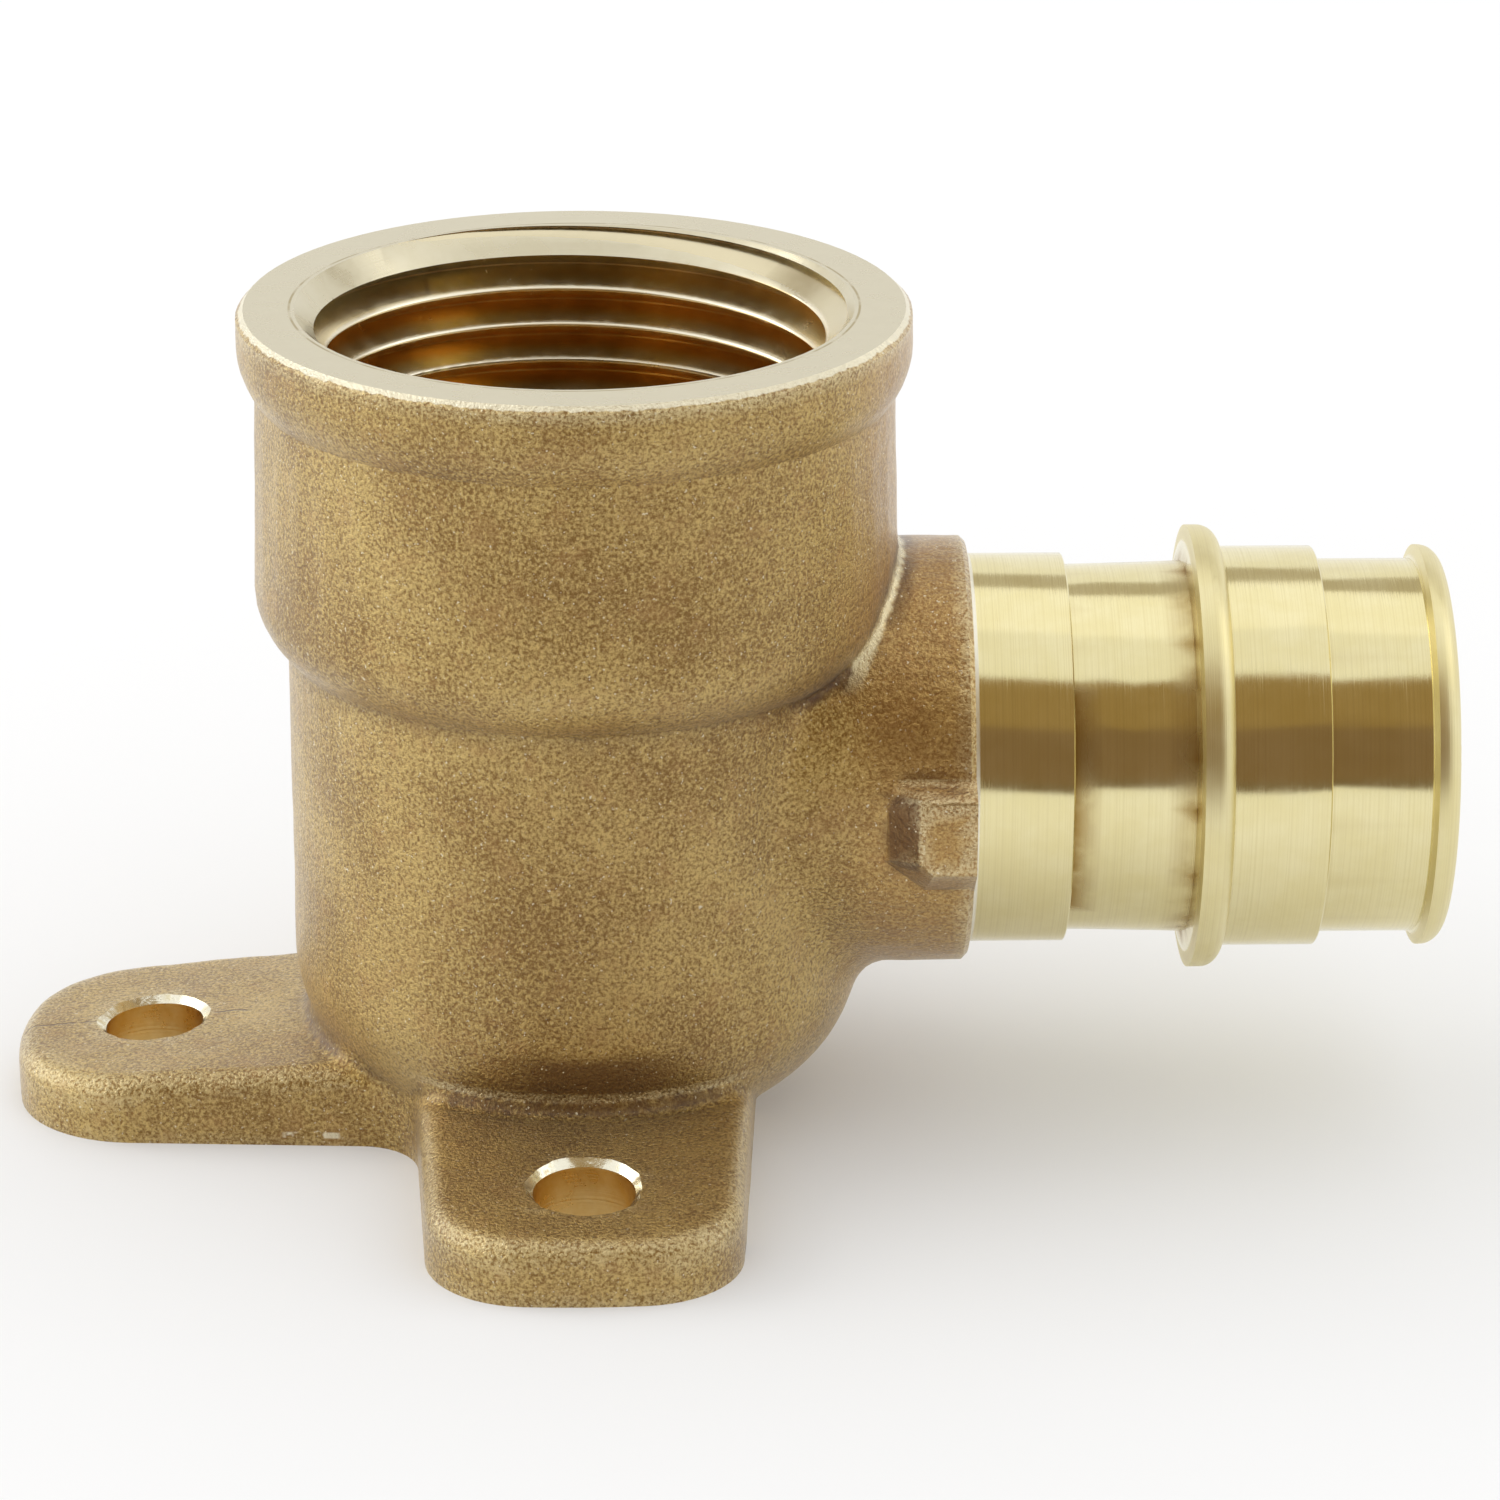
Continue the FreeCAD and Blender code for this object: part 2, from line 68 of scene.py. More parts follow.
# Shape of the machined places, in millimetres
RIM_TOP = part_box(NODE)[1].z / MM
MOUTH_RADIUS = 13.25
MOUTH_MARGIN = 0.2
BORE_RADIUS = MOUNTS["thread_socket"]["dims"]["r_mm"]
BORE_FLOOR = 22.5
SPIGOT_AXIS = MOUNTS["spigot"]["pos_m"][2] / MM
SPIGOT_START = 18.75
COLLAR_START = 29.27
COLLAR_END = 31.02
LIP_START = 40.44
SPIGOT_BORE_RADIUS = 7.6
HOLE_RADIUS = MOUNTS["screw_end"]["dims"]["r_mm"]
HOLE_CHAMFER = 0.35
EAR_LOW = 1.0
EAR_TOP = 6.0
CHAMBER_RADIUS = 10.4
CHAMBER_FLOOR = 1.0

# Tolerances, in millimetres
NEAR = 0.02
SLIVER = 0.002
WELD = 0.0001

# How much of a face's normal points out from the socket's axis, or up
BORE_OUTWARD = 0.1
LEVEL_UPWARD = 0.99
CONE_UPWARD = 0.5
COUNTERSINK_UPWARD = 0.3

# Taper pipe thread: 14 turns to the inch, cone of 1 in 16, 60 degree groove
THREAD_PITCH = 25.4 / 14
THREAD_TAPER = 1 / 32
THREAD_ROOT_RADIUS = 13.3
THREAD_ROOT_FLAT = 0.08
THREAD_CREST_ROUND = 0.07
THREAD_CREST_PHASES = (0.0, 0.025, 0.055, 0.11)
THREAD_FLANK_SLOPE = math.tan(math.radians(30))
THREAD_CREST_DEPTH = 2.88
THREAD_TOP = -0.8
THREAD_FLOOR_GAP = 0.6
THREAD_BOTTOM = RIM_TOP - BORE_FLOOR - THREAD_FLOOR_GAP
THREAD_RUNOUT = 2.4
THREAD_END_INSET = 0.15
THREAD_END_RADIUS = BORE_RADIUS - THREAD_END_INSET
THREAD_COLUMNS = 240
THREAD_DIGITS = 4
CREST_ANGLE = 90.0

# Skin of the casting, in millimetres
SKIN_EDGE = 1.1
SKIN_SPLITS = 5
SKIN_SWELL = 0.045
SKIN_SWELL_SIZE = 3.2
SKIN_FINE_SHARE = 0.5
SKIN_FINE_SCALE = 2.3
SKIN_FADE = 0.9
SHARP_ANGLE = math.radians(28)

# Torn edges of the screw holes: depth in millimetres, then each noise's weight, scale and step between holes
HOLE_RAGGED = 0.16
HOLE_TEARS = ((1.0, 2.6, 400), (0.6, 7.0, 900))

# Bend of the surface, per millimetre, at which edge wear and painted highlight, or painted shade in
# crevices, begin and are full, as a mean over a reach
BEND_REACH = 0.55
BEND_PER_END = 0.25
WEAR_AND_HIGHLIGHT_BEND = (0.15, 0.6)
CREVICE_BEND = (0.22, 0.75)
LEAST_AREA = 1e-6

# Where the cast neck meets the socket, in millimetres
SOCKET_RADIUS = 15.35
SOCKET_FOOT = 23.45
NECK_RADIUS = 10.4

# Sockets of the node that mixes two colours
MIX_AMOUNT, MIX_FIRST, MIX_SECOND, MIX_RESULT = 0, 6, 7, 2

# Finishes, in the order of the piece's materials
CAST, TURNED, FACED, TAPPED, DRILLED, CORED, CUT = range(7)


def share(value, low, high):
    """Rises smoothly from 0 at low to 1 at high."""
    t = np.clip((value - low) / (high - low), 0.0, 1.0)
    return t * t * (3 - 2 * t)


def link(obj):
    bpy.context.scene.collection.objects.link(obj)
    return obj


def mesh_object(name, points, faces):
    """An object from points in millimetres."""
    mesh = bpy.data.meshes.new(name)
    mesh.from_pydata([tuple(Vector(p) * MM) for p in points], [], faces)
    mesh.validate()
    return link(bpy.data.objects.new(name, mesh))


def thread_radius(depth, phase):
    """Radius of the tapped groove at a depth under the rim; phase is 0 on a crest and 0.5 in a root."""
    root = THREAD_ROOT_RADIUS - depth * THREAD_TAPER
    crest = root - (THREAD_PITCH - THREAD_ROOT_FLAT) / 2 / THREAD_FLANK_SLOPE
    from_crest = (0.5 - abs(phase - 0.5)) * THREAD_PITCH
    cut = min(root, crest + math.hypot(from_crest, THREAD_CREST_ROUND) / THREAD_FLANK_SLOPE)
    runout = share(depth, THREAD_BOTTOM - THREAD_RUNOUT, THREAD_BOTTOM - THREAD_PITCH / 2)
    return cut + (THREAD_END_RADIUS - cut) * runout


def thread_tap():
    """The tap: a closed helical screw, which the body is cut with."""
    flat = THREAD_ROOT_FLAT / THREAD_PITCH / 2
    up = [*THREAD_CREST_PHASES, 0.5 - flat]
    phases = up + [1 - phase for phase in reversed(up[1:])]
    first = math.floor((THREAD_TOP - THREAD_CREST_DEPTH) / THREAD_PITCH)
    last = math.ceil((THREAD_BOTTOM - THREAD_CREST_DEPTH) / THREAD_PITCH) + 1
    rows = [turn + phase for turn in range(first, last + 1) for phase in phases]
    points = []
    known = {}

    def corner(row, column):
        turned = column / THREAD_COLUMNS
        depth = THREAD_CREST_DEPTH + (row - turned) * THREAD_PITCH
        held = min(max(depth, THREAD_TOP), THREAD_BOTTOM)
        key = (column % THREAD_COLUMNS, round(held, THREAD_DIGITS))
        if key not in known:
            known[key] = len(points)
            phase = (row + (held - depth) / THREAD_PITCH) % 1.0
            radius = thread_radius(held, phase)
            angle = 2 * math.pi * turned + math.radians(CREST_ANGLE)
            points.append((radius * math.cos(angle), radius * math.sin(angle), RIM_TOP - held))
        return known[key]

    faces = []
    for row, below in zip(rows, rows[1:]):
        for column in range(THREAD_COLUMNS):
            beside = column + 1
            loop = [corner(row, column), corner(below, column), corner(below, beside), corner(row, beside)]
            loop = list(dict.fromkeys(loop))
            if len(loop) > 2:
                faces.append(loop)
    for end in (THREAD_TOP, THREAD_BOTTOM):
        faces.append([known[(column, round(end, THREAD_DIGITS))] for column in range(THREAD_COLUMNS)])
    tap = mesh_object("tap", points, faces)
    bm = bmesh.new()
    bm.from_mesh(tap.data)
    bmesh.ops.recalc_face_normals(bm, faces=bm.faces)
    bmesh.ops.triangulate(bm, faces=bm.faces)
    bm.to_mesh(tap.data)
    bm.free()
    return tap


def face_kind(centre, normal):
    """Which finish a face of the body has, from where it is."""
    x, y, z = centre / MM
    out = math.hypot(x, y)
    faces_out = (normal.x * x + normal.y * y) / max(out, NEAR)
    in_socket = out < MOUTH_RADIUS + MOUTH_MARGIN and z > BORE_FLOOR - NEAR
    if in_socket and faces_out < BORE_OUTWARD and normal.z < LEVEL_UPWARD:
        on_mouth_cone = abs(out - (MOUTH_RADIUS - (RIM_TOP - z))) < NEAR and normal.z > CONE_UPWARD
        return FACED if on_mouth_cone else TAPPED
    if z > RIM_TOP - NEAR:
        return FACED
    from_axis = math.hypot(y, z - SPIGOT_AXIS)
    if x > SPIGOT_START - NEAR or (x > 0 and from_axis < SPIGOT_BORE_RADIUS + NEAR):
        return TURNED
    for name in SCREW_HOLES:
        hole = MOUNTS[name]["pos_m"]
        from_hole = math.hypot(x - hole[0] / MM, y - hole[1] / MM)
        if from_hole < HOLE_RADIUS + HOLE_CHAMFER and NEAR < z < EAR_TOP:
            return CUT if normal.z > COUNTERSINK_UPWARD else DRILLED
    if out < CHAMBER_RADIUS + NEAR and z > CHAMBER_FLOOR:
        return CORED
    return CAST


def cut_thread(body, tap):
    """Cuts the thread into the body and removes the tap."""
    cut = body.modifiers.new("thread", "BOOLEAN")
    cut.operation = "DIFFERENCE"
    cut.solver = "EXACT"
    cut.object = tap
    bpy.context.view_layer.update()
    done = body.evaluated_get(bpy.context.evaluated_depsgraph_get())
    mesh = bpy.data.meshes.new_from_object(done)
    body.modifiers.remove(cut)
    body.data = mesh
    bpy.data.objects.remove(tap)


def refine(bm):
    """Splits the long edges of the cast skin, so that it can swell and carry its wear, painted highlight and
    painted shade.
    """
    def is_skin(face):
        return face.material_index == CAST and face.calc_center_median().z > NEAR * MM

    for _ in range(SKIN_SPLITS):
        long_edges = [
            edge for edge in bm.edges
            if edge.calc_length() > SKIN_EDGE * MM and any(is_skin(face) for face in edge.link_faces)
        ]
        bmesh.ops.subdivide_edges(bm, edges=long_edges, cuts=1, use_grid_fill=True)
        bmesh.ops.triangulate(bm, faces=[f for f in bm.faces if len(f.verts) > 3])


def swell_skin(bm):
    """Moves the cast skin in and out a little, as a sand mould leaves it, and not where it is machined."""
    edge_points = [v for v in bm.verts if any(f.material_index != CAST for f in v.link_faces)]
    tree = kdtree.KDTree(len(edge_points))
    for index, vert in enumerate(edge_points):
        tree.insert(vert.co, index)
    tree.balance()
    moves = []
    for vert in bm.verts:
        near = tree.find(vert.co)[2] / MM
        if near > 0 and vert.co.z > NEAR * MM:
            place = vert.co / (SKIN_SWELL_SIZE * MM)
            swell = noise.noise(place) + SKIN_FINE_SHARE * noise.noise(place * SKIN_FINE_SCALE)
            moves.append((vert, vert.normal * (swell * SKIN_SWELL * MM * share(near, 0.0, SKIN_FADE))))
    for vert, move in moves:
        vert.co += move


def roughen_holes(bm):
    """Makes the countersinks of the screw holes ragged, as a drill leaves them on a rough skin."""
    for name in SCREW_HOLES:
        hole = Vector(MOUNTS[name]["pos_m"])
        for vert in bm.verts:
            away = Vector((vert.co.x - hole.x, vert.co.y - hole.y, 0.0))
            out = away.length / MM
            on_edge = abs(out - HOLE_RADIUS - HOLE_CHAMFER) < NEAR
            if on_edge and EAR_LOW < vert.co.z / MM < EAR_TOP:
                way = away.normalized()
                shift = sum(
                    weight * noise.noise(way * scale + hole * step) for weight, scale, step in HOLE_TEARS
                )
                vert.co += way * (HOLE_RAGGED * shift * MM)


def write_bend(mesh, bm):
    """Writes how far the surface bends out or in near each point: out for edge wear and painted highlight,
    in for painted shade in crevices.

    An edge bends the surface by half its angle, which is shared between its two ends.
    """
    count = len(bm.verts)
    bend = np.zeros(count)
    area = np.zeros(count)
    for edge in bm.edges:
        if len(edge.link_faces) == 2:
            part = edge.calc_face_angle_signed(0.0) * edge.calc_length() / MM * BEND_PER_END
            for vert in edge.verts:
                bend[vert.index] += part
    for face in bm.faces:
        part = face.calc_area() / MM ** 2 / len(face.verts)
        for vert in face.verts:
            area[vert.index] += part
    tree = kdtree.KDTree(count)
    for vert in bm.verts:
        tree.insert(vert.co, vert.index)
    tree.balance()
    mean = np.zeros(count)
    for vert in bm.verts:
        near = [index for _, index, _ in tree.find_range(vert.co, BEND_REACH * MM)]
        mean[vert.index] = bend[near].sum() / max(area[near].sum(), LEAST_AREA)
    wear_and_highlight = share(mean, *WEAR_AND_HIGHLIGHT_BEND)
    crevice = share(-mean, *CREVICE_BEND)
    for name, value in (("wear_and_highlight", wear_and_highlight), ("crevice", crevice)):
        layer = mesh.attributes.new(name, "FLOAT", "POINT")
        layer.data.foreach_set("value", value.astype(np.float32))


def dressed_body():
    """The body as it is seen: the CAD solid with its thread cut, its skin and its finishes sorted."""
    node = frame["nodes"][NODE]
    mesh = bpy.data.meshes.new("dressed_elbow")
    bm = bmesh.new()
    bm.from_mesh(node.data)
    bmesh.ops.remove_doubles(bm, verts=bm.verts, dist=WELD * MM)
    bm.to_mesh(mesh)
    bm.free()
    body = link(bpy.data.objects.new("dressed_elbow", mesh))
    cut_thread(body, thread_tap())
    body.data.name = "dressed_elbow"
    bm = bmesh.new()
    bm.from_mesh(body.data)
    bmesh.ops.triangulate(bm, faces=bm.faces)
    bmesh.ops.dissolve_degenerate(bm, edges=bm.edges, dist=SLIVER * MM)
    for face in bm.faces:
        face.smooth = True
        face.material_index = face_kind(face.calc_center_median(), face.normal)
    refine(bm)
    bmesh.ops.dissolve_degenerate(bm, edges=bm.edges, dist=SLIVER * MM)
    bmesh.ops.triangulate(bm, faces=bm.faces)
    bm.normal_update()
    for edge in bm.edges:
        edge.smooth = edge.calc_face_angle(0.0) < SHARP_ANGLE
    swell_skin(bm)
    roughen_holes(bm)
    bm.normal_update()
    bm.verts.index_update()
    mesh = bpy.data.meshes.new("dressed_elbow")
    for make in (cast_brass, turned_brass, faced_brass, tapped_brass, drilled_brass, cored_brass, cut_brass):
        mesh.materials.append(make())
    bm.to_mesh(mesh)
    write_bend(mesh, bm)
    bm.free()
    body.data = mesh
    smooth = body.modifiers.new("normals", "WEIGHTED_NORMAL")
    smooth.keep_sharp = True
    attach(body, BODY)
    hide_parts(NODE)


class Shader:
    """A node material with one metal surface; a value is a number, a colour or another node's output."""

    def __init__(self, name):
        self.material = bpy.data.materials.new(name)
        self.material.use_nodes = True
        self.tree = self.material.node_tree
        self.metal = self.tree.nodes["Principled BSDF"]
        self.metal.inputs["Metallic"].default_value = 1.0
        place = self.node("ShaderNodeTexCoord").outputs["Object"]
        to_mm = {0: place, "Scale": 1 / MM}
        self.place = self.node("ShaderNodeVectorMath", {"operation": "SCALE"}, to_mm).outputs[0]

    def node(self, kind, settings=None, inputs=None):
        made = self.tree.nodes.new(kind)
        for name, value in (settings or {}).items():
            setattr(made, name, value)
        for name, value in (inputs or {}).items():
            self.put(made.inputs[name], value)
        return made

    def put(self, socket, value):
        if isinstance(value, bpy.types.NodeSocket):
            self.tree.links.new(value, socket)
        else:
            socket.default_value = value

    def math(self, operation, *values):
        inputs = dict(enumerate(values))
        return self.node("ShaderNodeMath", {"operation": operation}, inputs).outputs[0]

    def noise(self, size, detail, rough):
        """Noise with grains of about that size in millimetres."""
        inputs = {"Vector": self.place, "Scale": 1 / size, "Detail": detail, "Roughness": rough}
        return self.node("ShaderNodeTexNoise", None, inputs).outputs[0]

    def lines(self, along, size, detail):
        """Noise that runs along one length only, as turning marks do."""
        inputs = {"W": along, "Scale": 1 / size, "Detail": detail}
        return self.node("ShaderNodeTexNoise", {"noise_dimensions": "1D"}, inputs).outputs[0]

    def ramp(self, value, low, high, start=0.0, end=1.0):
        """Goes smoothly from start, where the value is low, to end, where it is high."""
        inputs = {"Value": value, "From Min": low, "From Max": high, "To Min": start, "To Max": end}
        return self.node("ShaderNodeMapRange", {"interpolation_type": "SMOOTHSTEP"}, inputs).outputs[0]

    def fall(self, value, low, high):
        return self.ramp(value, low, high, 1.0, 0.0)

    def mix(self, amount, first, second):
        made = self.node("ShaderNodeMix", {"data_type": "RGBA"})
        self.put(made.inputs[MIX_AMOUNT], amount)
        for socket, colour in ((MIX_FIRST, first), (MIX_SECOND, second)):
            self.put(made.inputs[socket], (*colour, 1.0) if isinstance(colour, tuple) else colour)
        return made.outputs[MIX_RESULT]

    def layer(self, name):
        return self.node("ShaderNodeAttribute", {"attribute_name": name}).outputs["Fac"]

    def parts(self):
        split = self.node("ShaderNodeSeparateXYZ", None, {0: self.place})
        return split.outputs["X"], split.outputs["Y"], split.outputs["Z"]

    def length(self, first, second):
        squares = [self.math("MULTIPLY", value, value) for value in (first, second)]
        return self.math("SQRT", self.math("ADD", *squares))

    def from_post(self):
        """Distance from the socket's axis."""
        x, y, _ = self.parts()
        return self.length(x, y)

    def product(self, first, *others):
        for other in others:
            first = self.math("MULTIPLY", first, other)
        return first

    def most(self, first, *others):
        for other in others:
            first = self.math("MAXIMUM", first, other)
        return first

    def band(self, value, centre, half, soft):
        """1 within half of the centre, falling to 0 over soft more."""
        away = self.math("ABSOLUTE", self.math("SUBTRACT", value, centre))
        return self.fall(away, half, half + soft)

    def bump(self, height, depth, strength, normal=None):
        inputs = {"Height": height, "Distance": depth * MM, "Strength": strength}
        if normal is not None:
            inputs["Normal"] = normal
        return self.node("ShaderNodeBump", None, inputs).outputs[0]

    def finish(self, colour, roughness, normal):
        self.put(self.metal.inputs["Base Color"], colour)
        self.put(self.metal.inputs["Roughness"], roughness)
        self.put(self.metal.inputs["Normal"], normal)
        return self.material


# Noise of the cast skin: size of its grains in millimetres, detail and roughness
NOISE_MEAN = 0.5
SAND = (0.16, 3.0, 0.65)
PEEL = (0.7, 2.0, 0.5)
CLOUD = (6.0, 2.0, 0.5)
BLUSH = (1.4, 2.0, 0.5)
FRAY = (0.5, 3.0, 0.6)
# noise of the painted glints
GLINT_NOISE = (0.17, 1.0, 0.5)
CRACK_GAPS = (1.6, 2.0, 0.5)

# Colours of the cast skin
SAND_DARK = (0.24, 0.124, 0.020)
SAND_PALE = (0.66, 0.478, 0.170)
BLUSH_BROWN = (0.46, 0.255, 0.085)
# painted shade in the creases
NECK_BROWN = (0.44, 0.225, 0.07)
CREASE_SHADE_BROWN = (0.10, 0.045, 0.015)
# painted shade under the dome and on the lug's left side
PAINTED_SHADE_BROWN = (0.17, 0.085, 0.028)
# pale of worn edges, also used for the painted highlight lines
WORN_AND_HIGHLIGHT_PALE = (0.78, 0.68, 0.42)
# pale of fresh-cut metal at the rim edge and the flaw, also used for painted glints
FRESH_METAL_AND_GLINT_PALE = (0.88, 0.81, 0.60)
CRACK_DARK = (0.12, 0.06, 0.02)

# Marks, painted shade and painted highlights on the cast skin, in millimetres: a band is its middle, half
# its width and its fade
# the dome band and the lug's side are painted shade
DOME_X = (0.6, 1.5, 4.6)
DOME_Z = (6.0, 0.6, 1.0)
LUG_SIDE_X = (15.3, 0.6, 0.25)
LUG_SIDE_Z = (17.2, 1.7, 0.3)
# the lug's rim and brow, the ridge and the foot line are painted highlight lines
LUG_RIM_X = (16.15, 0.12, 0.15)
LUG_RIM_Z = (17.2, 1.7, 0.2)
LUG_BROW_Z = (18.9, 0.12, 0.15)
RIDGE_Z = (19.56, 0.07, 0.1)
FOOT_LINE_X = (0.0, 6.0, 3.0)
FOOT_LINE_Z = (4.85, 0.12, 0.2)
FLAW_X = (-13.0, 1.2, 0.3)
FLAW_Z = (0.55, 0.1, 0.1)

# Limits of the marks, in millimetres: from where to where they rise or fall
FRONT_Y = (-9.6, -9.0)
LUG_SIDE_Y = (-10.45, -10.25)
LUG_FACE_Y = (-11.2, -11.0)
LUG_BROW_X = (15.9, 16.2)
RIDGE_X = (14.9, 15.3)
SEAM_X = (5.0, 8.0)
SEAM_Z = (SOCKET_FOOT - 0.3, SOCKET_FOOT + 1.2)
RIM_EDGE_Z = (RIM_TOP - 0.24, RIM_TOP - 0.18)
CRACK_X = (-16.6, -15.4)
CRACK_WIDTH = (0.02, 0.09)
FRAY_REACH = 0.6
RIM_FRAY = 0.45
CRACK_WANDER = 0.5

# Strength of the marks: from where to where in a noise or a length, and the strength at either end
CLOUD_SHARE = 0.3
SAND_TONE = (0.47, 0.83)
BLUSH_TONE = (0.5, 0.72, 0.0, 0.26)
NECK_TONE = (11.5, 15.0, 0.0, 0.35)
CREASE_TONE = (0.15, 0.6, 0.65, 1.0)
CREASE_HEIGHT = (33.0, 35.0, 1.0, 0.3)
SEAM_TONE = (0.2, 0.5, 0.85, 0.0)
# strength of the painted highlight lines, then of the pale on convex edges, partly wear and partly painted
# highlight
LINE_TONE = (0.4, 0.6, 0.1, 0.65)
WEAR_AND_HIGHLIGHT_TONE = (0.35, 0.62, 0.05, 0.6)
FLAW_TONE = (0.5, 0.6)
# strength of the painted glints
GLINT_TONE = (0.68, 0.78, 0.0, 0.8)
CRACK_TONE = (0.42, 0.56)
# strength of the painted shade under the dome and on the lug's side
DOME_SHADE = 0.8
LUG_SIDE_SHADE = 0.85

# Gloss and relief of the cast skin; depths in millimetres
CAST_ROUGH = (0.2, 0.8, 0.29, 0.39)
WORN_POLISH = 0.08
CAST_GLOSS = {
    "Coat Weight": 0.7,
    "Coat Roughness": 0.4,
    "Sheen Weight": 0.12,
    "Sheen Roughness": 0.5,
    "Sheen Tint": (1.0, 0.95, 0.82, 1.0),
}
PEEL_DEPTH = 0.12
PEEL_STRENGTH = (12.0, 15.0, 0.4, 1.0)
SAND_DEPTH = 0.12
SAND_STRENGTH = (12.0, 15.0, 0.95, 0.5)
CRACK_RELIEF = (-0.05, 0.8)


def cast_brass():
    """Sand-cast skin: grains, pits, a crack and specks of painted glint; brown painted shade in the creases,
    under the dome and on the lug's side; pale edges, partly wear and partly painted highlight, and painted
    highlight lines.
    """
    s = Shader("cast_brass")
    x, y, z = s.parts()
    out = s.from_post()
    grain = s.noise(*SAND)
    coarse = s.noise(*PEEL)
    cloud = s.noise(*CLOUD)
    ragged = s.math("MULTIPLY", s.math("SUBTRACT", s.noise(*FRAY), NOISE_MEAN), FRAY_REACH)
    front = s.fall(y, *FRONT_Y)

    tone = s.ramp(s.math("ADD", grain, s.math("MULTIPLY", cloud, CLOUD_SHARE)), *SAND_TONE)
    colour = s.mix(tone, SAND_DARK, SAND_PALE)
    colour = s.mix(s.ramp(s.noise(*BLUSH), *BLUSH_TONE), colour, BLUSH_BROWN)
    colour = s.mix(s.ramp(x, *NECK_TONE), colour, NECK_BROWN)
    # painted highlight: a bright ridge line where the lug's top meets the neck
    ridge_highlight = s.product(s.band(z, *RIDGE_Z), s.ramp(x, *RIDGE_X), front)
    # painted shade: the creases are darkened brown, less so high on the socket and not on the ridge
    crease_shade = s.product(
        s.layer("crevice"),
        s.ramp(coarse, *CREASE_TONE),
        s.math("SUBTRACT", 1.0, ridge_highlight),
        s.ramp(z, *CREASE_HEIGHT),
    )
    colour = s.mix(crease_shade, colour, CREASE_SHADE_BROWN)
    # painted shade: the dome's underside and the lug's left side are darkened brown
    under_dome = s.product(s.band(x, *DOME_X), s.band(z, *DOME_Z), front)
    lug_side = s.product(s.band(x, *LUG_SIDE_X), s.band(z, *LUG_SIDE_Z), s.fall(y, *LUG_SIDE_Y))
    painted_shade = s.most(s.math("MULTIPLY", under_dome, DOME_SHADE), s.math("MULTIPLY", lug_side, LUG_SIDE_SHADE))
    colour = s.mix(painted_shade, colour, PAINTED_SHADE_BROWN)

    # painted highlight: a bright ragged line where the neck meets the socket
    off_socket = s.math("SUBTRACT", out, SOCKET_RADIUS)
    off_neck = s.math("SUBTRACT", s.length(y, s.math("SUBTRACT", z, SPIGOT_AXIS)), NECK_RADIUS)
    off_seam = s.math("ADD", s.length(off_socket, off_neck), ragged)
    seam_highlight = s.product(s.ramp(off_seam, *SEAM_TONE), s.ramp(z, *SEAM_Z), s.ramp(x, *SEAM_X))
    lug_face = s.fall(y, *LUG_FACE_Y)
    # painted highlights: bright lines along the lug's rim and brow and the dome's foot, with the ridge
    lug_rim = s.product(s.band(x, *LUG_RIM_X), s.band(z, *LUG_RIM_Z), lug_face)
    lug_brow = s.product(s.band(z, *LUG_BROW_Z), s.ramp(x, *LUG_BROW_X), lug_face)
    foot_line = s.product(s.band(z, *FOOT_LINE_Z), s.band(x, *FOOT_LINE_X), front)
    lines = s.most(lug_rim, lug_brow, ridge_highlight, foot_line)
    lines = s.product(lines, s.ramp(grain, *LINE_TONE))
    # pale on convex edges, partly edge wear and partly painted highlight, joined with the painted highlight
    # lines and the seam line
    worn_and_highlight = s.math("MULTIPLY", s.layer("wear_and_highlight"), s.ramp(grain, *WEAR_AND_HIGHLIGHT_TONE))
    worn_and_highlight = s.most(worn_and_highlight, lines, seam_highlight)
    colour = s.mix(worn_and_highlight, colour, WORN_AND_HIGHLIGHT_PALE)
    faced = s.ramp(s.math("ADD", z, s.math("MULTIPLY", ragged, RIM_FRAY)), *RIM_EDGE_Z)
    flaw = s.product(s.band(x, *FLAW_X), s.band(z, *FLAW_Z), s.ramp(coarse, *FLAW_TONE))
    # painted glints: pale specks of painted highlight, mixed with the fresh-cut rim edge and the flaw
    painted_glint = s.ramp(s.noise(*GLINT_NOISE), *GLINT_TONE)
    colour = s.mix(s.most(painted_glint, faced, flaw), colour, FRESH_METAL_AND_GLINT_PALE)

    wander = s.math("MULTIPLY", s.math("SUBTRACT", coarse, NOISE_MEAN), CRACK_WANDER)
    off_plane = s.math("ABSOLUTE", s.math("ADD", y, wander))
    crack = s.product(
        s.fall(off_plane, *CRACK_WIDTH),
        s.fall(x, *CRACK_X),
        s.ramp(s.noise(*CRACK_GAPS), *CRACK_TONE),
    )
    colour = s.mix(crack, colour, CRACK_DARK)

    rough = s.math("SUBTRACT", s.ramp(coarse, *CAST_ROUGH), s.math("MULTIPLY", worn_and_highlight, WORN_POLISH))
    for socket, value in CAST_GLOSS.items():
        s.metal.inputs[socket].default_value = value
    relief = s.bump(coarse, PEEL_DEPTH, s.ramp(x, *PEEL_STRENGTH))
    relief = s.bump(grain, SAND_DEPTH, s.ramp(x, *SAND_STRENGTH), relief)
    relief = s.bump(crack, *CRACK_RELIEF, relief)
    return s.finish(colour, rough, relief)


# How the machined finishes are mottled: from where to where in the noise
MOTTLE = (0.3, 0.75)

# Turned spigot: marks as size and detail, bands and limits in millimetres, relief as depth and strength
TURNED_MARKS = (0.07, 3.0)
TURNED_STREAKS = (0.11, 3.0)
TURNED_CLOUD = (2.5, 3.0, 0.6)
TURNED_DARK = (0.79, 0.70, 0.375)
TURNED_PALE = (0.84, 0.76, 0.45)
STREAK_TONE = (0.42, 0.66, 0.0, 0.35)
STREAK_YELLOW = (0.70, 0.60, 0.32)
CORNER_TONE = (0.3, 0.6, 0.35, 1.0)
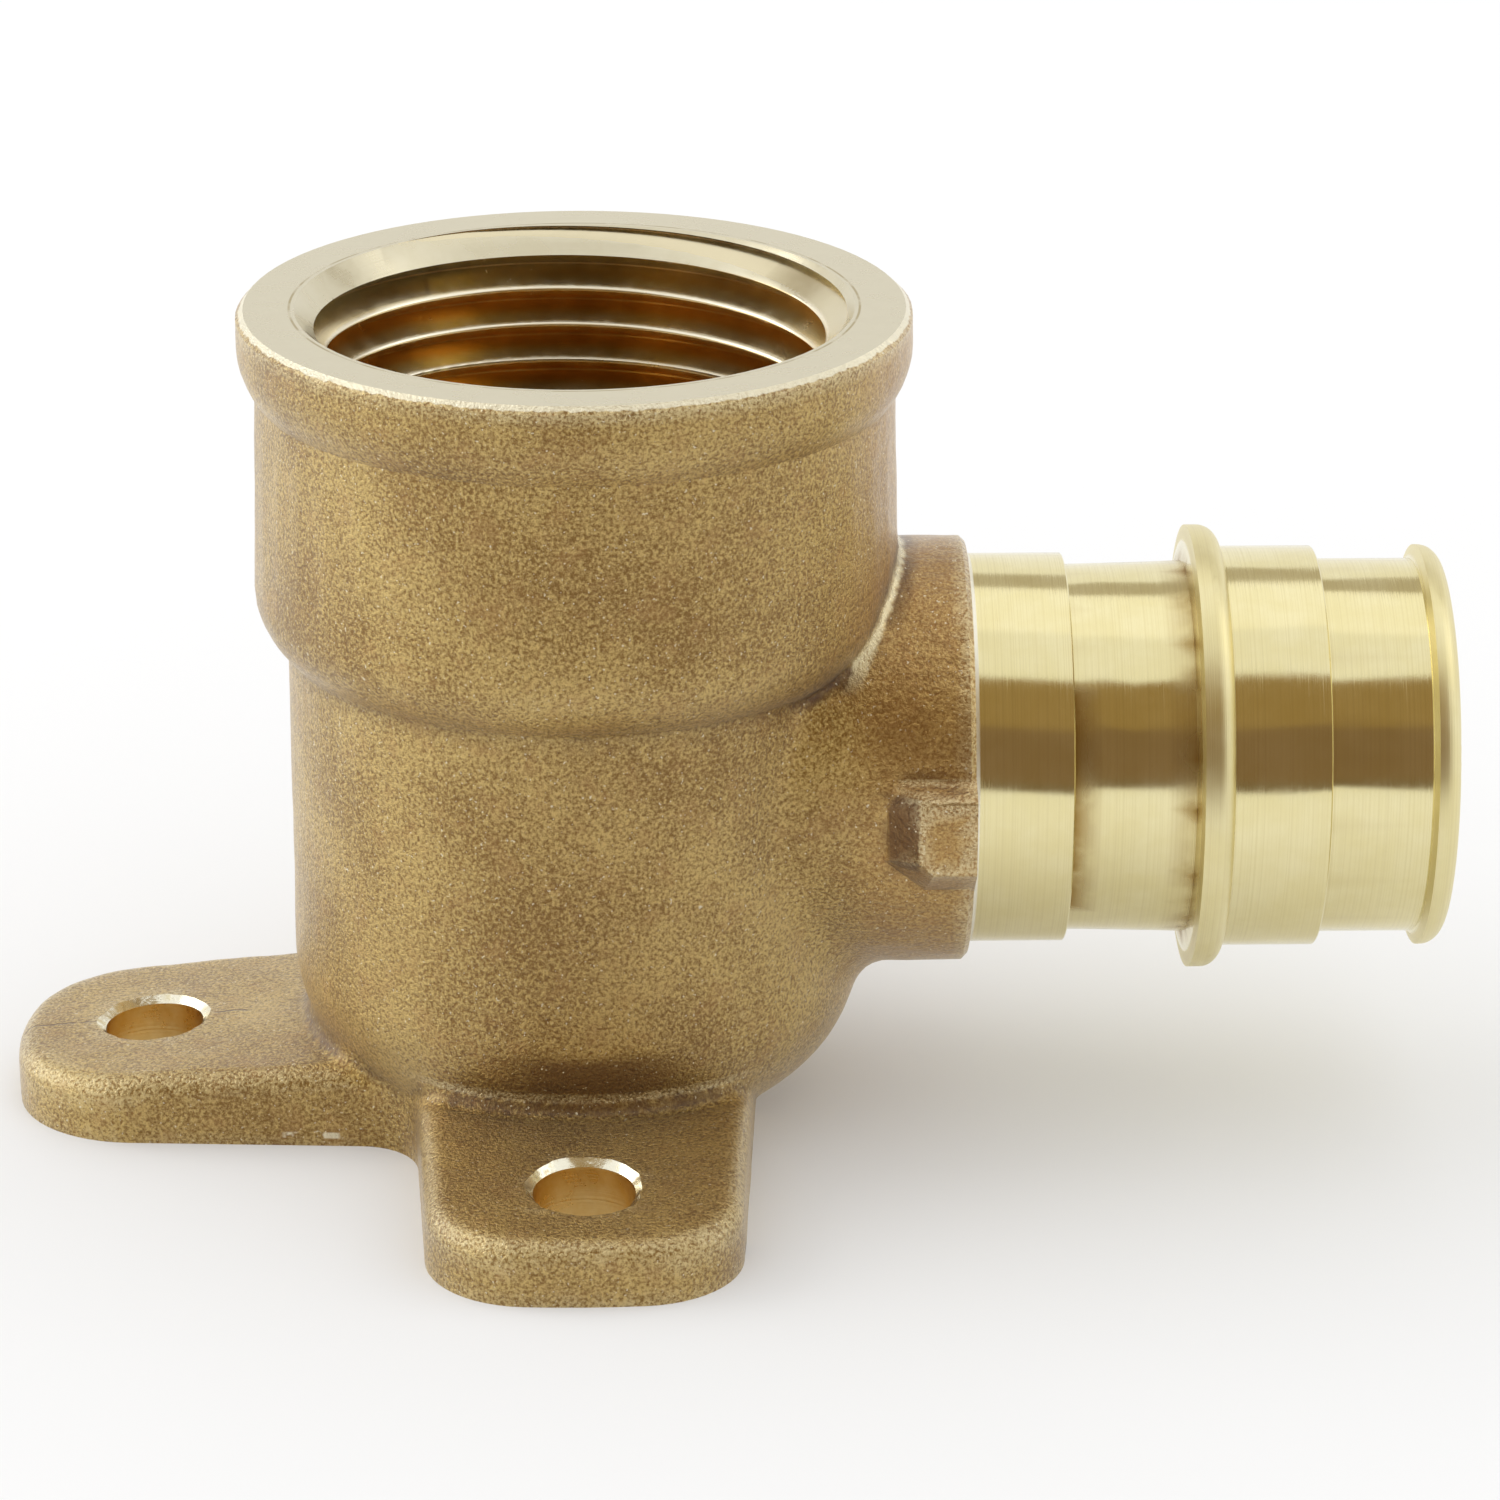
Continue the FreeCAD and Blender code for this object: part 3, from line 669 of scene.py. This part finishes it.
# painted shade in the spigot's concave corners
CORNER_SHADE_BROWN = (0.36, 0.22, 0.05)
CORNER_DULL = 0.25
# painted highlight where the spigot starts: band, colour and dullness
START_X = (SPIGOT_START, 0.16, 0.1)
START_HIGHLIGHT_PALE = (0.95, 0.92, 0.80)
START_DULL = 0.3
OUTER_RADIUS = (8.5, 9.0)
COLLAR_RADIUS = (9.9, 10.1)
RIB_FADE = 0.1
RIB_DULL = 0.24
TURNED_ROUGH = (0.2, 0.8, 0.10, 0.15)
TURNED_RELIEF = (0.016, 0.8)


def turned_brass():
    """The spigot: bright turned brass with fine tool marks, brown painted shade in its corners, a painted
    highlight where it starts and duller ribs.
    """
    s = Shader("turned_brass")
    x, y, z = s.parts()
    from_axis = s.length(y, s.math("SUBTRACT", z, SPIGOT_AXIS))
    outside = s.ramp(from_axis, *OUTER_RADIUS)
    marks = s.lines(x, *TURNED_MARKS)
    streaks = s.lines(x, *TURNED_STREAKS)
    cloud = s.noise(*TURNED_CLOUD)
    # painted shade: brown in the concave corners
    painted_shade = s.math("MULTIPLY", s.layer("crevice"), s.ramp(cloud, *CORNER_TONE))
    colour = s.mix(s.ramp(cloud, *MOTTLE), TURNED_DARK, TURNED_PALE)
    colour = s.mix(s.ramp(streaks, *STREAK_TONE), colour, STREAK_YELLOW)
    colour = s.mix(painted_shade, colour, CORNER_SHADE_BROWN)
    # painted highlight: a bright line where the spigot starts
    start = s.math("MULTIPLY", s.band(x, *START_X), outside)
    colour = s.mix(start, colour, START_HIGHLIGHT_PALE)
    rough = s.math("ADD", s.ramp(cloud, *TURNED_ROUGH), s.math("MULTIPLY", painted_shade, CORNER_DULL))
    rough = s.math("ADD", rough, s.math("MULTIPLY", start, START_DULL))
    collar = s.product(
        s.ramp(x, COLLAR_START, COLLAR_START + RIB_FADE),
        s.fall(x, COLLAR_END, COLLAR_END + RIB_FADE),
        s.ramp(from_axis, *COLLAR_RADIUS),
    )
    lip = s.math("MULTIPLY", s.ramp(x, LIP_START, LIP_START + RIB_FADE), outside)
    rough = s.math("ADD", rough, s.math("MULTIPLY", s.most(collar, lip), RIB_DULL))
    return s.finish(colour, rough, s.bump(marks, *TURNED_RELIEF))


# Faced rim and mouth
FACED_MARKS = (0.1, 3.0)
FACED_CLOUD = (1.8, 3.0, 0.6)
FACED_DARK = (0.65, 0.59, 0.42)
FACED_PALE = (0.70, 0.645, 0.48)
RING_OUT = (MOUTH_RADIUS + 0.22, 0.03, 0.05)
RING_TONE = (0.35, 0.6, 0.1, 0.9)
RING_BROWN = (0.40, 0.31, 0.13)
FACED_ROUGH = (0.2, 0.8, 0.24, 0.34)
FACED_RELIEF = (0.006, 0.6)


def faced_brass():
    """Rim and mouth cone: faced on a lathe, pale, with rings of tool marks and one dark ring."""
    s = Shader("faced_brass")
    out = s.from_post()
    marks = s.lines(out, *FACED_MARKS)
    cloud = s.noise(*FACED_CLOUD)
    colour = s.mix(s.ramp(cloud, *MOTTLE), FACED_DARK, FACED_PALE)
    ring = s.product(s.band(out, *RING_OUT), s.ramp(cloud, *RING_TONE))
    colour = s.mix(ring, colour, RING_BROWN)
    return s.finish(colour, s.ramp(cloud, *FACED_ROUGH), s.bump(marks, *FACED_RELIEF))


# Thread: the root and crest are told by the distance from the root's cone, in millimetres
TAPPED_MARKS = (0.06, 2.0)
TAPPED_CLOUD = (1.2, 3.0, 0.6)
TAPPED_DARK = (0.93, 0.78, 0.46)
TAPPED_PALE = (0.96, 0.84, 0.56)
MOUTH_Z = (RIM_TOP - 2.6, RIM_TOP - 1.8)
MOUTH_PALE = (0.70, 0.62, 0.42)
# painted shade in the thread's roots, deeper orange as light bounced between the flanks makes them: reach
# and colour
ROOT_REACH = (-1.0, -0.3)
ROOT_SHADE_ORANGE = (0.95, 0.60, 0.22)
# painted highlight on the thread's crests: reach, colour and dullness
CREST_REACH = (-1.36, -1.15)
CREST_HIGHLIGHT_PALE = (0.95, 0.88, 0.70)
CREST_DULL = 0.08
TAPPED_ROUGH = (0.2, 0.8, 0.18, 0.28)
TAPPED_RELIEF = (0.005, 0.5)


def tapped_brass():
    """The thread: bright flanks scored along the cut, painted shade in its orange roots and painted
    highlight on its pale crests.
    """
    s = Shader("tapped_brass")
    out = s.from_post()
    marks = s.lines(out, *TAPPED_MARKS)
    cloud = s.noise(*TAPPED_CLOUD)
    colour = s.mix(s.ramp(cloud, *MOTTLE), TAPPED_DARK, TAPPED_PALE)
    _, _, z = s.parts()
    inside = s.fall(z, *MOUTH_Z)
    colour = s.mix(inside, MOUTH_PALE, colour)
    taper = s.math("MULTIPLY", s.math("SUBTRACT", RIM_TOP, z), THREAD_TAPER)
    off_root = s.math("SUBTRACT", s.math("ADD", out, taper), THREAD_ROOT_RADIUS)
    # painted shade: the roots are a deeper orange
    root = s.math("MULTIPLY", s.ramp(off_root, *ROOT_REACH), inside)
    colour = s.mix(root, colour, ROOT_SHADE_ORANGE)
    # painted highlight: the crests are pale
    crest = s.fall(off_root, *CREST_REACH)
    colour = s.mix(crest, colour, CREST_HIGHLIGHT_PALE)
    rough = s.math("ADD", s.ramp(cloud, *TAPPED_ROUGH), s.math("MULTIPLY", crest, CREST_DULL))
    return s.finish(colour, rough, s.bump(marks, *TAPPED_RELIEF))


# Screw holes, their countersinks and the waterway
DRILLED_MARKS = (0.12, 3.0)
DRILLED_CLOUD = (0.9, 3.0, 0.6)
DRILLED_DARK = (0.78, 0.54, 0.20)
DRILLED_PALE = (0.86, 0.66, 0.30)
DRILLED_ROUGH = (0.2, 0.8, 0.24, 0.38)
DRILLED_RELIEF = (0.012, 0.7)
TEAR = (0.5, 3.0, 0.65)
TEAR_TONE = (0.3, 0.55)
TEAR_DARK = (0.72, 0.62, 0.38)
TEAR_PALE = (0.90, 0.86, 0.70)
TEAR_ROUGH = (0.3, 0.6, 0.34, 0.2)
TEAR_RELIEF = (0.05, 0.6)
CORE = (0.5, 3.0, 0.6)
CORE_DARK = (0.34, 0.22, 0.08)
CORE_PALE = (0.52, 0.38, 0.16)
CORE_ROUGH = 0.6
CORE_RELIEF = (0.12, 0.7)


def drilled_brass():
    """Screw holes: drilled, golden, with the drill's rings."""
    s = Shader("drilled_brass")
    _, _, z = s.parts()
    marks = s.lines(z, *DRILLED_MARKS)
    cloud = s.noise(*DRILLED_CLOUD)
    colour = s.mix(s.ramp(cloud, *MOTTLE), DRILLED_DARK, DRILLED_PALE)
    return s.finish(colour, s.ramp(cloud, *DRILLED_ROUGH), s.bump(marks, *DRILLED_RELIEF))


def cut_brass():
    """Countersinks of the screw holes: freshly cut, pale and torn in places."""
    s = Shader("cut_brass")
    tear = s.noise(*TEAR)
    colour = s.mix(s.ramp(tear, *TEAR_TONE), TEAR_DARK, TEAR_PALE)
    return s.finish(colour, s.ramp(tear, *TEAR_ROUGH), s.bump(tear, *TEAR_RELIEF))


def cored_brass():
    """Waterway: the core's own rough skin."""
    s = Shader("cored_brass")
    grain = s.noise(*CORE)
    colour = s.mix(s.ramp(grain, *MOTTLE), CORE_DARK, CORE_PALE)
    return s.finish(colour, CORE_ROUGH, s.bump(grain, *CORE_RELIEF))


BLACK = (0.0, 0.0, 0.0, 1.0)


def plain(name, colour, light=0.0):
    """A stage material: matt, or giving an even light of its own."""
    material = bpy.data.materials.new(name)
    material.use_nodes = True
    matt = material.node_tree.nodes["Principled BSDF"]
    matt.inputs["Base Color"].default_value = BLACK if light else (*colour, 1.0)
    matt.inputs["Roughness"].default_value = 1.0
    matt.inputs["Specular IOR Level"].default_value = 0.0
    matt.inputs["Emission Color"].default_value = (*colour, 1.0)
    matt.inputs["Emission Strength"].default_value = light
    return material


def whiten(material, amount):
    """Lifts a pale floor to white where the camera, metal or glass sees it, with its shadow kept."""
    tree = material.node_tree
    ray = tree.nodes.new("ShaderNodeLightPath")
    seen = ray.outputs["Is Camera Ray"]
    for other in ("Is Glossy Ray", "Is Transmission Ray"):
        either = tree.nodes.new("ShaderNodeMath")
        either.operation = "MAXIMUM"
        tree.links.new(seen, either.inputs[0])
        tree.links.new(ray.outputs[other], either.inputs[1])
        seen = either.outputs[0]
    lift = tree.nodes.new("ShaderNodeMath")
    lift.operation = "MULTIPLY"
    lift.inputs[1].default_value = amount
    tree.links.new(seen, lift.inputs[0])
    tree.links.new(lift.outputs[0], tree.nodes["Principled BSDF"].inputs["Emission Strength"])
    return material


def stage_sheet(name, corners, material):
    """A flat sheet of the stage, from its four corners in millimetres."""
    sheet = mesh_object(name, corners, [(0, 1, 2, 3)])
    sheet.data.materials.append(material)
    return sheet


def softbox(name, place, target, width, height, radiance):
    """A rectangular lamp, in millimetres, whose face is as bright as radiance says."""
    lamp = bpy.data.lights.new(name, "AREA")
    lamp.shape = "RECTANGLE"
    lamp.size = width * MM
    lamp.size_y = height * MM
    lamp.energy = radiance * math.pi * lamp.size * lamp.size_y
    made = link(bpy.data.objects.new(name, lamp))
    made.location = Vector(place) * MM
    aim = (Vector(target) - Vector(place)) * MM
    made.rotation_euler = aim.to_track_quat("-Z", "Y").to_euler()


# Studio, in millimetres
FLOOR_HALF = 4000.0
FLOOR_GREY = (0.79, 0.79, 0.79)
FLOOR_LIFT = 0.13
SKY_WHITE = (1.0, 1.0, 1.0, 1.0)
LAMP_TARGET = (0, 0, 20)

# Cards that reflections alone see: colour, then first and last edge as left, right, depth and height
CARDS = {
    "room_floor": ((0.20, 0.145, 0.08), (-900, 1500, -1200, 1), (-400, 700, -190, 1)),
    "room_wall": ((0.24, 0.16, 0.09), (-900, 1500, -1200, 1), (-900, 1500, -1100, 700)),
    "room_top": ((0.34, 0.235, 0.105), (-900, 1500, -1100, 700), (-900, 1500, -1000, 1850)),
    "tent_seam": ((0.55, 0.50, 0.42), (-1500, 1500, 1200, 860), (-1500, 1500, 1200, 1480)),
}

# Lamps: place, width, height and radiance
SOFTBOXES = {
    "softbox_top": ((0, 380, 1000), 1600, 700, 0.15),
    "softbox_left": ((-1000, 200, 500), 800, 700, 1.8),
    "softbox_right": ((1000, 200, 700), 600, 600, 0.6),
}


def card(name, colour, first, last):
    """A card of even light that metal mirrors, and that neither lights the part nor shades it."""
    left, right, depth, height = first
    corners = [(left, depth, height), (right, depth, height)]
    left, right, depth, height = last
    corners += [(right, depth, height), (left, depth, height)]
    sheet = stage_sheet(name, corners, plain(name + "_finish", colour, 1.0))
    sheet.visible_camera = False
    sheet.visible_diffuse = False
    sheet.visible_shadow = False


def studio():
    """White tent: floor, bright sky, lamps above and at both sides, and the dark room behind the camera."""
    half = FLOOR_HALF
    stage_sheet(
        "floor",
        [(-half, -half, 0), (half, -half, 0), (half, half, 0), (-half, half, 0)],
        whiten(plain("floor_white", FLOOR_GREY), FLOOR_LIFT),
    )
    for name, (colour, first, last) in CARDS.items():
        card(name, colour, first, last)
    world = bpy.data.worlds.new("tent")
    world.use_nodes = True
    bpy.context.scene.world = world
    sky = world.node_tree.nodes["Background"]
    sky.inputs["Color"].default_value = SKY_WHITE
    sky.inputs["Strength"].default_value = 1.0
    for name, (place, width, height, radiance) in SOFTBOXES.items():
        softbox(name, place, LAMP_TARGET, width, height, radiance)


def camera():
    """The photograph's own view."""
    azimuth = math.radians(CAMERA_AZIMUTH)
    elevation = math.radians(CAMERA_ELEVATION)
    back = Vector((
        math.sin(azimuth) * math.cos(elevation),
        -math.cos(azimuth) * math.cos(elevation),
        math.sin(elevation),
    ))
    right = Vector((math.cos(azimuth), math.sin(azimuth), 0.0))
    turn = Matrix.Rotation(math.radians(CAMERA_ROLL), 3, back)
    right = turn @ right
    up = back.cross(right)
    data = bpy.data.cameras.new("camera")
    data.sensor_width = CAMERA_SENSOR
    data.lens = CAMERA_LENS
    data.clip_start, data.clip_end = CAMERA_CLIP
    made = link(bpy.data.objects.new("camera", data))
    made.matrix_world = Matrix.Translation((CAMERA_TARGET + back * CAMERA_DISTANCE) * MM) @ (
        Matrix((right, up, back)).transposed().to_4x4()
    )
    bpy.context.scene.camera = made


dressed_body()
studio()
camera()
bpy.context.scene.view_settings.view_transform = "Standard"
